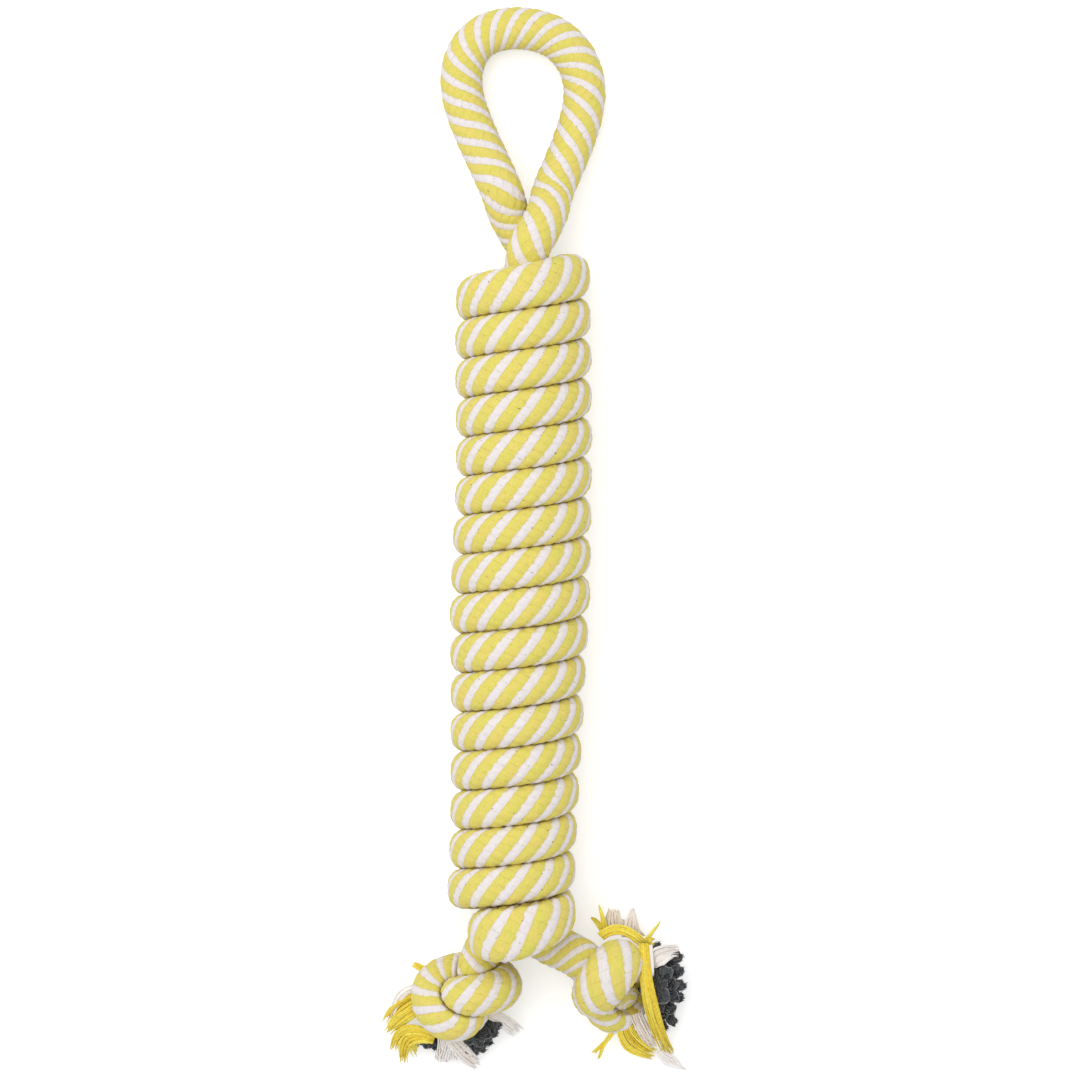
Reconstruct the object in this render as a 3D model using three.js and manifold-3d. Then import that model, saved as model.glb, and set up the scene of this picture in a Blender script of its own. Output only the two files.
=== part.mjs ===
// Rope dog toy: a folded rope whose legs run through a coil of the same rope, with a handle loop
// at one end and two knotted, frayed tails at the other. Millimetres, +Z up, lying on its back:
// +X is the toy's right, +Y runs along it towards the handle, and the origin is under the coil.

import * as THREE from 'three';
import { mergeVertices } from 'three/addons/utils/BufferGeometryUtils.js';
import Module from 'manifold-3d';

// Rope, the same in every stretch
const rope_diameter = 16;
const rope_ease = 0.1;
const rope_radius = rope_diameter / 2 - rope_ease;
const seat_gap = 0.3;
const joint_gap = 0.3;

// Coil: turns lying against each other round the two legs
const turn_count = 17;
const turn_clearance = 0.3;
const bore_slack_top = 4.1;
const bore_slack_bottom = 2.8;
const coil_lean = 5.2;
const flat_share = 0.1;
const steps_per_turn = 24;
const coil_sides = 6;

// Handle loop, measured on the rope's centreline
const handle_length = 70;
const handle_width = 51;
const handle_leg_spacing = 20;
const handle_lean = 4.4;
const neck_length = 22;
const neck_height = 20;

// Knots: size across the pull, along it and in depth
const knot_rope_diameter = 15;
const knot_fill_share = 0.415;
const left_knot_scale_shares = { along: 0.66, across: 1.0, depth: 0.84 };
const right_knot_scale_shares = { along: 0.6, across: 1.2, depth: 0.84 };
const left_knot_angle = 60;
const right_knot_angle = 255;

// Frayed ends
const yarn_diameter = 4.6;
const tuft_thickness = 2.6;
const tuft_width = 6;
const fray_gap = 0.3;

// Worked out from the sizes above
const pitch = rope_diameter + turn_clearance;
const coil_radius_top = rope_diameter + bore_slack_top;
const coil_radius_bottom = rope_diameter + bore_slack_bottom;
const flat_depth = rope_diameter * flat_share;
const pivot_reach = rope_radius + joint_gap;
const first_turn_y = (turn_count - 1) / 2 * pitch - pitch / 4;
const last_turn_y = first_turn_y - (turn_count - 1) * pitch;
const coil_run = first_turn_y - last_turn_y;
const middle_share = 0.5;

function coilShare(y) {
  return (first_turn_y - y) / coil_run;
}

function coilRadius(y) {
  return THREE.MathUtils.lerp(coil_radius_top, coil_radius_bottom, coilShare(y));
}

// The coil's axis at a height along the toy: it bows to the left and sinks as the coil thins
function coilAxis(y) {
  const share = coilShare(y);
  const x = coil_lean * (middle_share * middle_share - share * Math.abs(share));
  return new THREE.Vector3(x, y, coilRadius(y) + rope_radius - flat_depth);
}

// A point on the coil's rope. The angle is 90 degrees on the right and 0 in front
function coilPoint(turn, degrees) {
  const angle = THREE.MathUtils.degToRad(degrees);
  const y = first_turn_y - (turn - 1) * pitch - pitch * (90 - degrees) / 360;
  const axis = coilAxis(y);
  const radius = coilRadius(y);
  return axis.add(new THREE.Vector3(radius * Math.sin(angle), 0, radius * Math.cos(angle)));
}

// Sweeps a section along a line of points and closes both ends. section(i, angle) gives the
// offsets along the ring's two directions, a round cap bulges by the section's own size, and press
// may flatten a ring where the rope is squeezed.
function sweep(points, section, options = {}) {
  const { sides = 10, start = 'flat', end = 'flat', normals, press = (offset) => offset } = options;
  const rings = [];
  const tangents = points.map((point, i) => {
    const before = points[Math.max(i - 1, 0)];
    const after = points[Math.min(i + 1, points.length - 1)];
    return after.clone().sub(before).normalize();
  });
  let normal = new THREE.Vector3(0, 0, 1);
  const ringAt = (centre, i, tangent, scale) => {
    const side = new THREE.Vector3().crossVectors(tangent, normal).normalize();
    const up = new THREE.Vector3().crossVectors(side, tangent).normalize();
    normal = up;
    const ring = [];
    for (let k = 0; k < sides; k += 1) {
      const [a, b] = section(i, 2 * Math.PI * k / sides);
      const offset = up.clone().multiplyScalar(a * scale).addScaledVector(side, b * scale);
      ring.push(centre.clone().add(press(offset, i)));
    }
    return ring;
  };
  const cap = (i, direction) => {
    const size = section(i, 0)[0];
    const list = [];
    for (const share of [0.38, 0.71, 0.92]) {
      const centre = points[i].clone().addScaledVector(tangents[i], direction * size * share);
      list.push(ringAt(centre, i, tangents[i], Math.sqrt(1 - share * share)));
    }
    return list;
  };
  if (normals) {
    normal = normals[0].clone();
  }
  const last = points.length - 1;
  let startTip = points[0].clone();
  let endTip = points[last].clone();
  if (start === 'round') {
    rings.push(...cap(0, -1).reverse());
    startTip = points[0].clone().addScaledVector(tangents[0], -section(0, 0)[0]);
  }
  for (let i = 0; i <= last; i += 1) {
    if (normals && normals[i]) {
      normal = normals[i].clone();
    }
    rings.push(ringAt(points[i], i, tangents[i], 1));
  }
  if (end === 'round') {
    rings.push(...cap(last, 1));
    endTip = points[last].clone().addScaledVector(tangents[last], section(last, 0)[0]);
  }
  const positions = [];
  for (const ring of rings) {
    for (const point of ring) {
      positions.push(point.x, point.y, point.z);
    }
  }
  const startIndex = positions.length / 3;
  positions.push(startTip.x, startTip.y, startTip.z, endTip.x, endTip.y, endTip.z);
  const index = [];
  for (let i = 0; i < rings.length - 1; i += 1) {
    for (let k = 0; k < sides; k += 1) {
      const a = i * sides + k;
      const b = i * sides + (k + 1) % sides;
      index.push(a, b + sides, b, a, a + sides, b + sides);
    }
  }
  const lastRing = (rings.length - 1) * sides;
  for (let k = 0; k < sides; k += 1) {
    const next = (k + 1) % sides;
    index.push(startIndex, k, next);
    index.push(startIndex + 1, lastRing + next, lastRing + k);
  }
  const geometry = new THREE.BufferGeometry();
  geometry.setAttribute('position', new THREE.Float32BufferAttribute(positions, 3));
  geometry.setIndex(index);
  return geometry;
}

// Turns a geometry inside out where its faces point in, which a sweep's direction decides
function facingOut(geometry) {
  const p = geometry.attributes.position;
  const index = geometry.index.array;
  const a = new THREE.Vector3();
  const b = new THREE.Vector3();
  const c = new THREE.Vector3();
  let volume = 0;
  for (let i = 0; i < index.length; i += 3) {
    a.fromBufferAttribute(p, index[i]);
    b.fromBufferAttribute(p, index[i + 1]);
    c.fromBufferAttribute(p, index[i + 2]);
    volume += a.dot(b.cross(c));
  }
  if (volume < 0) {
    for (let i = 0; i < index.length; i += 3) {
      const swap = index[i + 1];
      index[i + 1] = index[i + 2];
      index[i + 2] = swap;
    }
  }
  return geometry;
}

function roundSection(radius) {
  return (i, angle) => [radius * Math.cos(angle), radius * Math.sin(angle)];
}

// Evenly spaced points of a smooth curve through a route's points
function smooth(route, steps) {
  return new THREE.CatmullRomCurve3(route, false, 'centripetal').getSpacedPoints(steps);
}

const wasm = await Module();
wasm.setup();

function toSolid(geometry) {
  const bare = geometry.index ? geometry.clone() : mergeVertices(geometry);
  bare.deleteAttribute('normal');
  bare.deleteAttribute('uv');
  const merged = mergeVertices(bare);
  return new wasm.Manifold(new wasm.Mesh({
    numProp: 3,
    vertProperties: new Float32Array(merged.attributes.position.array),
    triVerts: new Uint32Array(merged.index.array),
  }));
}

function toGeometry(solid) {
  const mesh = solid.getMesh();
  const geometry = new THREE.BufferGeometry();
  geometry.setAttribute('position', new THREE.Float32BufferAttribute(mesh.vertProperties, 3));
  geometry.setIndex(Array.from(mesh.triVerts));
  return geometry;
}

const toy = new THREE.Group();
const cover_material = { color: 0xe4dc7a, roughness: 0.9, metalness: 0 };
const yellow_yarn_material = { color: 0xe2cc3c, roughness: 0.9, metalness: 0 };
const white_yarn_material = { color: 0xe9e2e4, roughness: 0.9, metalness: 0 };
const filler_yarn_material = { color: 0x3a3d42, roughness: 0.95, metalness: 0 };

function addPiece(name, geometry, material) {
  const mesh = new THREE.Mesh(facingOut(geometry), new THREE.MeshStandardMaterial(material));
  mesh.name = name;
  toy.add(mesh);
  return mesh;
}

// Places where the rope bends, in rope diameters to the right of the coil's axis, up from its end
// turn and in front of the axis
const top_axis = coilAxis(first_turn_y);
const bottom_axis = coilAxis(last_turn_y);

function beside(axis, [right, up, front]) {
  return new THREE.Vector3(right, up, front).multiplyScalar(rope_diameter).add(axis);
}

// The neck's two pivots stand one in front of the other, where the legs cross at the coil's mouth
const mouth_front_shares = [0.15, 0.68, 0.53];
const mouth_rear_shares = [0.15, 0.68, -0.53];
const mouth_front = beside(top_axis, mouth_front_shares);
const mouth_rear = beside(top_axis, mouth_rear_shares);
const neck_lean_share = 0.04;
const neck_centre = mouth_front.x - neck_lean_share * rope_diameter;
const neck_y = mouth_front.y + neck_length;

// The tails' and knots' pivots
const left_tail_shares = [-0.42, -0.68, -0.45];
const left_knot_shares = [-0.76, -1.45, -0.66];
const right_tail_shares = [0.72, -0.92, -0.46];
const right_knot_shares = [1.86, -1.5, -0.4];
const left_tail_pivot = beside(bottom_axis, left_tail_shares);
const left_knot_pivot = beside(bottom_axis, left_knot_shares);
const right_tail_pivot = beside(bottom_axis, right_tail_shares);
const right_knot_pivot = beside(bottom_axis, right_knot_shares);

// A place on the way from one place to another, short of the second by a reach
function shortOf(from, to, reach) {
  return to.clone().add(from.clone().sub(to).setLength(reach));
}

// Coil rope: one unbroken tube, 17 turns, its start tucked back on the right and its end folded
// down behind the last turn on the left
const winding_points = [];
const winding_normals = [];
const start_direction = new THREE.Vector3(-0.06, 0.13, -0.99);
const start_run_shares = [1, 0.66, 0.33];
for (const share of start_run_shares) {
  const tuck = start_direction.clone().multiplyScalar(share * rope_diameter);
  winding_points.push(coilPoint(1, 90).add(tuck));
  winding_normals.push(new THREE.Vector3(1, 0, 0));
}
const full_turns = turn_count - 1;
for (let step = 0; step <= full_turns * steps_per_turn; step += 1) {
  const degrees = 90 - 360 * step / steps_per_turn;
  const point = coilPoint(1, degrees);
  winding_points.push(point);
  const axis = coilAxis(point.y);
  winding_normals.push(point.clone().sub(axis).setComponent(1, 0).normalize());
}
const end_tuck_shares = [
  [1.13, -0.21, 0.62],
  [0.78, -0.5, 1.16],
  [0.3, -0.7, 1.32],
  [-0.14, -0.86, 1.24],
  [-0.42, -0.95, 0.9],
  [-0.46, -0.98, 0.5],
  [-0.46, -0.98, 0.1],
];
const end_tuck_steps = 22;
const tuck_route = smooth([
  coilPoint(turn_count, 90),
  ...end_tuck_shares.map((shares) => beside(bottom_axis, shares)),
], end_tuck_steps);
for (let i = 1; i < tuck_route.length; i += 1) {
  winding_points.push(tuck_route[i]);
  winding_normals.push(null);
}

const hexagon_stretch = 1 / Math.cos(Math.PI / coil_sides);
const winding = sweep(winding_points, (i, angle) => [
  rope_radius * Math.cos(angle),
  rope_radius * hexagon_stretch * Math.sin(angle),
], { sides: coil_sides, normals: winding_normals });

// The floor side is pressed flat, and the part rests on it
const slab = new THREE.BoxGeometry(2 * coil_run, 2 * coil_run, coil_run);
slab.translate(0, 0, -coil_run / 2);
addPiece('coil_winding', toGeometry(toSolid(facingOut(winding)).subtract(toSolid(slab))), cover_material);

// Least gap between stretches of one rope that lie over 1.6 diameters apart along it
const apart_share = 1.6;
function selfGap(points, section_diameter) {
  const along = [0];
  for (let i = 1; i < points.length; i += 1) {
    along.push(along[i - 1] + points[i].distanceTo(points[i - 1]));
  }
  let least = Infinity;
  for (let i = 0; i < points.length; i += 1) {
    for (let j = i + 1; j < points.length; j += 1) {
      if (along[j] - along[i] > apart_share * section_diameter) {
        least = Math.min(least, points[i].distanceTo(points[j]));
      }
    }
  }
  return { least: least - section_diameter, length: along[along.length - 1] };
}

const winding_check = selfGap(winding_points, 2 * rope_radius);
console.log(`coil rope length ${winding_check.length.toFixed(0)} mm, least gap to itself ${winding_check.least.toFixed(2)} mm`);

// The two legs of the handle rope lie side by side in the bore, pressed to half of it each, one
// over the other at the mouth and turned to lie left and right where they leave
const leg_steps = 30;
const leg_width_share = 1.35;
const leg_top_share = 0.2;
const leg_bottom_share = 0.1;
const mouth_press_share = 0.84;
const exit_shares = { half: 0.66, wide: 0.86 };
const tail_face_shares = { half: 0.76, wide: 0.9 };
function boreLeg(side, from, to, exit) {
  const list = [];
  const top_y = first_turn_y - leg_top_share * rope_diameter;
  const bottom_y = last_turn_y + leg_bottom_share * rope_diameter;
  for (let i = 0; i <= leg_steps; i += 1) {
    const y = THREE.MathUtils.lerp(top_y, bottom_y, i / leg_steps);
    const share = i / leg_steps;
    const turn = Math.PI / 2 * share;
    const bore = coilRadius(y) - rope_radius - seat_gap;
    const half = (bore - joint_gap / 2) / 2;
    const off = half + joint_gap / 2;
    const axis = coilAxis(y);
    const stack = new THREE.Vector3(Math.sin(turn), 0, Math.cos(turn)).multiplyScalar(side);
    list.push({ point: axis.addScaledVector(stack, off), stack, half, wide: half * leg_width_share });
  }
  const first = list[0];
  const last = list[leg_steps];
  const start = shortOf(first.point, from, pivot_reach);
  const end = shortOf(exit || last.point, to, pivot_reach);
  list.unshift({ point: start, stack: first.stack, half: mouth_press_share * rope_radius, wide: rope_radius });
  const pressed = (shares) => ({ half: shares.half * rope_radius, wide: shares.wide * rope_radius });
  if (exit) {
    list.push({ point: exit, stack: last.stack, ...pressed(exit_shares) });
  }
  list.push({ point: end, stack: last.stack, ...pressed(tail_face_shares) });
  return list;
}

function legGeometry(list) {
  const points = list.map((entry) => entry.point);
  const normals = list.map((entry) => entry.stack);
  const section = (i, angle) => [list[i].half * Math.cos(angle), list[i].wide * Math.sin(angle)];
  return sweep(points, section, { sides: 12, normals });
}

const right_exit_shares = [0.33, -0.3, -0.14];
const right_exit = beside(bottom_axis, right_exit_shares);
addPiece('front_core_leg', legGeometry(boreLeg(1, mouth_front, right_tail_pivot, right_exit)), cover_material);
addPiece('rear_core_leg', legGeometry(boreLeg(-1, mouth_rear, left_tail_pivot, null)), cover_material);

// Neck: the two short stretches between the coil's mouth and the loop, which turn on the mouth's
// pivots. Their lower ends are ball ends and their upper ends are cut square.
const neck_steps = 6;
const mouth_centre = mouth_front.clone().lerp(mouth_rear, middle_share);
const mouth_half = mouth_front.distanceTo(mouth_rear) / 2;

// The legs roll round each other by a quarter turn, from one over the other to side by side
function neckRoute(side) {
  const centre_end = new THREE.Vector3(neck_centre, neck_y, neck_height);
  const list = [];
  for (let i = 0; i <= neck_steps; i += 1) {
    const share = i / neck_steps;
    const roll = Math.PI / 2 * share;
    const half = side * THREE.MathUtils.lerp(mouth_half, handle_leg_spacing / 2, share);
    const point = mouth_centre.clone().lerp(centre_end, share);
    list.push(point.add(new THREE.Vector3(half * Math.sin(roll), 0, half * Math.cos(roll))));
  }
  return list;
}

// Cuts a line of points short of its last point, by a pivot's reach
function cutShort(points, reach) {
  const pivot = points[points.length - 1];
  const kept = points.filter((point) => point.distanceTo(pivot) > reach + joint_gap);
  const before = kept[kept.length - 1];
  kept.push(shortOf(before, pivot, reach));
  return kept;
}

addPiece('front_neck_leg', sweep(
  cutShort(neckRoute(1), pivot_reach),
  roundSection(rope_radius),
  { sides: 12, start: 'round' },
), cover_material);
addPiece('rear_neck_leg', sweep(
  cutShort(neckRoute(-1), pivot_reach),
  roundSection(rope_radius),
  { sides: 12, start: 'round' },
), cover_material);

// Handle loop: a teardrop from one neck leg to the other. Up the sides, shares of the loop's height
// and of its flare from the legs' spacing to the full width. Over the crown, shares of the height
// and of the full width
const loop_side_shares = [[0, 0], [0.17, 0.34], [0.36, 0.7], [0.52, 0.93], [0.65, 1]];
const loop_crown_shares = [[0.77, 0.95], [0.87, 0.81], [0.945, 0.6], [0.985, 0.33]];
const loop_rest_height = rope_diameter / 2 + rope_ease;
const loop_steps = 56;

function loopPoint(side, height_share, half) {
  const droop = (1 - height_share) * (1 - height_share);
  return new THREE.Vector3(
    neck_centre - handle_lean * height_share * height_share + side * half,
    neck_y + handle_length * height_share,
    THREE.MathUtils.lerp(loop_rest_height, neck_height, droop),
  );
}

function loopSide(side) {
  const up = loop_side_shares.map(([height_share, flare_share]) => loopPoint(
    side,
    height_share,
    THREE.MathUtils.lerp(handle_leg_spacing / 2, handle_width / 2, flare_share),
  ));
  const over = loop_crown_shares.map(([height_share, width_share]) => loopPoint(
    side,
    height_share,
    width_share * handle_width / 2,
  ));
  return [...up, ...over];
}

const loop_route = [...loopSide(1), loopPoint(0, 1, 0), ...loopSide(-1).reverse()];
addPiece('handle_loop', sweep(
  smooth(loop_route, loop_steps),
  roundSection(rope_radius),
  { sides: 12, start: 'round', end: 'round' },
), cover_material);

// An overhand knot's route in rope diameters, along the pull, across it and in depth. The second
// half is the first turned half round the middle
const half_knot_shares = [
  [-1.05, -0.25, 0.02],
  [-0.35, 0.1, -0.36],
  [0.08, 0.54, -0.52],
  [0.62, 0.86, -0.24],
  [1.06, 0.8, 0.22],
  [1.26, 0.38, 0.7],
  [1.16, -0.2, 0.94],
  [0.82, -0.75, 0.84],
  [0.4, -1.03, 0.46],
];
const knot_middle_shares = [0, -1.08, 0];
const knot_exit_shares = [1.4, -0.3, 0];

function knotPlace(centre, along, side, depth, spin, scale_shares) {
  const cosine = Math.cos(spin);
  const sine = Math.sin(spin);
  return ([a, b, c]) => {
    const across = b * cosine - c * sine;
    const deep = b * sine + c * cosine;
    return centre.clone()
      .addScaledVector(along, a * knot_rope_diameter * scale_shares.along)
      .addScaledVector(side, across * knot_rope_diameter * scale_shares.across)
      .addScaledVector(depth, deep * knot_rope_diameter * scale_shares.depth);
  };
}

function knotRoute(place) {
  const first = half_knot_shares.map((point) => place(point));
  const second = [...half_knot_shares].reverse().map(([a, b, c]) => place([-a, b, -c]));
  return [...first, place(knot_middle_shares), ...second, place(knot_exit_shares)];
}

const knot_steps = 64;
const knot_sides = 8;

function knotGeometry(pivot, centre, direction, angle_degrees, scale_shares) {
  const along = direction.clone().normalize();
  const depth = new THREE.Vector3(0, 0, 1).addScaledVector(along, -along.z).normalize();
  const side = new THREE.Vector3().crossVectors(along, depth).multiplyScalar(-1);
  const place = knotPlace(centre, along, side, depth, THREE.MathUtils.degToRad(angle_degrees), scale_shares);
  const route = [pivot, ...knotRoute(place)];
  const points = smooth(route, knot_steps);
  const radius = knot_rope_diameter * knot_fill_share;
  const squash = (vector) => vector
    .clone()
    .addScaledVector(along, (scale_shares.along - 1) * vector.dot(along))
    .addScaledVector(side, (scale_shares.across - 1) * vector.dot(side))
    .addScaledVector(depth, (scale_shares.depth - 1) * vector.dot(depth));
  const press = (offset, i) => {
    const weight = THREE.MathUtils.smoothstep(points[i].distanceTo(pivot), radius, rope_diameter);
    return offset.clone().lerp(squash(offset), weight);
  };
  const section = (grow) => (i, angle) => {
    const weight = THREE.MathUtils.smoothstep(points[i].distanceTo(pivot), 0, rope_diameter);
    const size = THREE.MathUtils.lerp(rope_radius, radius, i < knot_steps / 2 ? weight : 1) + grow;
    return [size * Math.cos(angle), size * Math.sin(angle)];
  };
  const geometry = sweep(points, section(0), { sides: knot_sides, start: 'round', press });
  const last = points[points.length - 1];
  const onward = last.clone().sub(points[points.length - 2]).setLength(fray_gap);
  const longer = [...points.slice(0, -1), last.clone().add(onward)];
  const grown = toSolid(facingOut(sweep(longer, section(fray_gap), { sides: knot_sides, start: 'round', press })));
  const loose = points.map((point) => {
    const offset = point.clone().sub(centre);
    return new THREE.Vector3(
      offset.dot(along) / scale_shares.along,
      offset.dot(side) / scale_shares.across,
      offset.dot(depth) / scale_shares.depth,
    );
  });
  return { geometry, grown, points, loose, centre, along, side, depth, radius };
}

const left_knot_direction = new THREE.Vector3(-0.5, -0.866, -0.3);
const right_knot_direction = new THREE.Vector3(0.97, -0.2, -0.05);
const left_centre_shares = [-1.22, -2.62, -0.45];
const right_centre_shares = [2.42, -2.1, -0.54];
const left_knot_centre = beside(bottom_axis, left_centre_shares);
const right_knot_centre = beside(bottom_axis, right_centre_shares);
const left_knot = knotGeometry(
  left_knot_pivot,
  left_knot_centre,
  left_knot_direction,
  left_knot_angle,
  left_knot_scale_shares,
);
const right_knot = knotGeometry(
  right_knot_pivot,
  right_knot_centre,
  right_knot_direction,
  right_knot_angle,
  right_knot_scale_shares,
);
addPiece('left_knot', left_knot.geometry, cover_material);
addPiece('right_knot', right_knot.geometry, cover_material);
for (const [name, knot] of [['left', left_knot], ['right', right_knot]]) {
  const check = selfGap(knot.loose, 2 * knot.radius);
  console.log(`${name} knot rope length ${check.length.toFixed(0)} mm, least gap to itself ${check.least.toFixed(2)} mm`);
}

// Tails: from the coil's end to each knot, with a ball end at the coil
addPiece('left_tail', sweep(
  smooth([left_tail_pivot, shortOf(left_tail_pivot, left_knot_pivot, pivot_reach)], neck_steps),
  roundSection(rope_radius),
  { sides: 12, start: 'round' },
), cover_material);
addPiece('right_tail', sweep(
  smooth([right_tail_pivot, shortOf(right_tail_pivot, right_knot_pivot, pivot_reach)], neck_steps),
  roundSection(rope_radius),
  { sides: 12, start: 'round' },
), cover_material);

// Frayed ends. Beyond each knot the rope comes apart: flat tufts of cover yarn, yellow and white,
// and round charcoal filler yarns. Each kind is one bundle, held where it leaves the rope's end
const tuft_steps = 5;
const tuft_sides = 6;

// A tuft's route runs from the rope's end through places round the knot, in rope diameters from
// the knot's centre to the right and up, and above the floor
function tuftSolid(knot, root, { route_shares, width_shares }, grow) {
  const onward = root.clone().addScaledVector(knot.along, tuft_thickness);
  const places = route_shares.map(([right, up, height]) => new THREE.Vector3(
    knot.centre.x + right * rope_diameter,
    knot.centre.y + up * rope_diameter,
    height * rope_diameter,
  ));
  const points = smooth([root, onward, ...places], tuft_steps);
  const section = (i, angle) => {
    const place = i / tuft_steps * ((width_shares || []).length - 1);
    const before = Math.floor(place);
    const width = width_shares
      ? tuft_width * THREE.MathUtils.lerp(width_shares[before], width_shares[Math.ceil(place)], place - before)
      : yarn_diameter;
    const thickness = width_shares ? tuft_thickness : yarn_diameter;
    return [(thickness / 2 + grow) * Math.cos(angle), (width / 2 + grow) * Math.sin(angle)];
  };
  return toSolid(facingOut(sweep(points, section, { sides: tuft_sides })));
}

// Joins a bundle's tufts where they leave the rope's end, and cuts it clear of what lies beside it
function bundle(knot, root_shares, tufts, neighbours) {
  const [across, deep] = root_shares;
  const root = knot.points[knot.points.length - 1].clone()
    .addScaledVector(knot.along, -fray_gap)
    .addScaledVector(knot.side, across * knot.radius)
    .addScaledVector(knot.depth, deep * knot.radius);
  const joined = (grow) => tufts
    .map((tuft) => tuftSolid(knot, root, tuft, grow))
    .reduce((sum, piece) => sum.add(piece));
  const cut = [knot.grown, ...neighbours].reduce((solid, other) => solid.subtract(other), joined(0));
  return { geometry: toGeometry(cut), grown: joined(fray_gap) };
}

const left_yellow_root_shares = [-0.6, 0.2];
const left_yellow_shares = [
  {
    route_shares: [[-1.1, -0.7, 0.4], [-1.6, -0.5, 0.32], [-1.95, -0.5, 0.22]],
    width_shares: [0.45, 1, 2, 0.7],
  },
  {
    route_shares: [[-1.1, -0.8, 0.3], [-1.45, -1.05, 0.22], [-1.6, -1.45, 0.16]],
    width_shares: [0.45, 1, 1.4, 0.35],
  },
];
const left_white_root_shares = [0.5, 0.4];
const left_white_shares = [
  { route_shares: [[-0.5, -1.25, 0.6], [-0.5, -1.55, 0.5]], width_shares: [0.4, 0.85, 0.85] },
  {
    route_shares: [[-0.3, -1.2, 0.6], [0, -1.42, 0.52], [0.3, -1.55, 0.45]],
    width_shares: [0.4, 0.7, 0.7, 0.5],
  },
];
const left_filler_root_shares = [0, -0.45];
const left_filler_shares = [
  { route_shares: [[-0.9, -1.15, 0.2], [-1.15, -1.2, 0.2]] },
  { route_shares: [[-0.7, -1.2, 0.2], [-0.9, -1.4, 0.2]] },
  { route_shares: [[-0.3, -1.1, 0.2], [0.2, -1.25, 0.2]] },
  { route_shares: [[-0.2, -1, 0.2], [0.5, -1.05, 0.2]] },
  { route_shares: [[-0.1, -0.9, 0.2], [0.5, -0.75, 0.2], [0.88, -0.55, 0.2]] },
];
const left_yellow = bundle(left_knot, left_yellow_root_shares, left_yellow_shares, []);
const left_white = bundle(left_knot, left_white_root_shares, left_white_shares, [left_yellow.grown]);
const left_filler = bundle(
  left_knot,
  left_filler_root_shares,
  left_filler_shares,
  [left_yellow.grown, left_white.grown],
);
addPiece('left_yellow_fringe', left_yellow.geometry, yellow_yarn_material);
addPiece('left_white_fringe', left_white.geometry, white_yarn_material);
addPiece('left_filler_yarns', left_filler.geometry, filler_yarn_material);

const right_yellow_root_shares = [0, 0.6];
const right_yellow_shares = [
  {
    route_shares: [[1.08, -0.5, 1.2], [1.2, -1.1, 0.7], [1.45, -1.8, 0.25]],
    width_shares: [0.5, 1, 1, 0.5],
  },
  {
    route_shares: [[1.08, 0.4, 1.25], [1.1, 0.9, 1], [1.35, 1.5, 0.5]],
    width_shares: [0.5, 1, 0.85, 0.25],
  },
  {
    route_shares: [[1.08, 0.5, 1.2], [0.95, 1.35, 0.9], [0.3, 1.85, 0.7], [-0.3, 2, 0.5]],
    width_shares: [0.5, 1, 1.3, 0.85, 0.25],
  },
];
const right_white_root_shares = [-0.6, -0.1];
const right_white_shares = [
  {
    route_shares: [[0.98, -0.9, 0.5], [1, -1.4, 0.25], [1.35, -2, 0.16]],
    width_shares: [0.4, 0.7, 0.7, 1],
  },
];
const right_filler_root_shares = [0.2, -0.2];
const right_filler_shares = [
  { route_shares: [[1.3, 0.4, 0.8], [1.6, 0.75, 0.8]] },
  { route_shares: [[1.4, 0.2, 0.5], [1.95, 0.4, 0.45]] },
  { route_shares: [[1.4, 0, 0.8], [1.95, 0.05, 0.9]] },
  { route_shares: [[1.4, -0.2, 0.4], [1.95, -0.25, 0.3]] },
  { route_shares: [[1.4, -0.4, 0.5], [1.75, -0.75, 0.4]] },
];
const right_yellow = bundle(right_knot, right_yellow_root_shares, right_yellow_shares, []);
const right_white = bundle(right_knot, right_white_root_shares, right_white_shares, [right_yellow.grown]);
const right_filler = bundle(
  right_knot,
  right_filler_root_shares,
  right_filler_shares,
  [right_yellow.grown, right_white.grown],
);
addPiece('right_yellow_fringe', right_yellow.geometry, yellow_yarn_material);
addPiece('right_white_fringe', right_white.geometry, white_yarn_material);
addPiece('right_filler_yarns', right_filler.geometry, filler_yarn_material);

export default toy;
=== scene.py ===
import math

import bpy
import numpy as np
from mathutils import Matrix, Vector


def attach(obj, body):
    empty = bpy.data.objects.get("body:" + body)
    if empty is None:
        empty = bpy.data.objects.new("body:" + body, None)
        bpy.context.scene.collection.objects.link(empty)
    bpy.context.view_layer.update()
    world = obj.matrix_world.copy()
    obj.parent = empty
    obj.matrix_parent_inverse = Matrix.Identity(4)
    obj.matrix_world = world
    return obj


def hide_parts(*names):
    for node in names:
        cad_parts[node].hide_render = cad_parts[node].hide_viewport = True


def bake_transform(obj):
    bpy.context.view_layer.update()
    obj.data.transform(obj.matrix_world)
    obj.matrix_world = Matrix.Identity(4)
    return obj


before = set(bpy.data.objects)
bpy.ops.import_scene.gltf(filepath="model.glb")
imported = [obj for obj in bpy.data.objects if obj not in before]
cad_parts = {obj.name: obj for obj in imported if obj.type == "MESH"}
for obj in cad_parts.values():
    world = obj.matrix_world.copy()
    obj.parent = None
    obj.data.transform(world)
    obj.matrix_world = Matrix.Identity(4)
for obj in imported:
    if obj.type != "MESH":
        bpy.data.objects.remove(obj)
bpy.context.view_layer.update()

# The toy lies on its back on a pale sheet, and is seen from straight above, a little from the
# handle's side, through a long lens that takes in the whole of it. A wide round lamp and a white
# room give it soft light.
picture_centre = Vector((0.0083, 0.0164, 0.020))
camera_data = bpy.data.cameras.new("toy_camera")
camera_data.sensor_width = 36
camera_data.lens = 163
camera_data.clip_start = 0.05
camera_data.clip_end = 20


def placed(name, data):
    """An object of that data, in the scene."""
    made = bpy.data.objects.new(name, data)
    bpy.context.scene.collection.objects.link(made)
    return made


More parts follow.
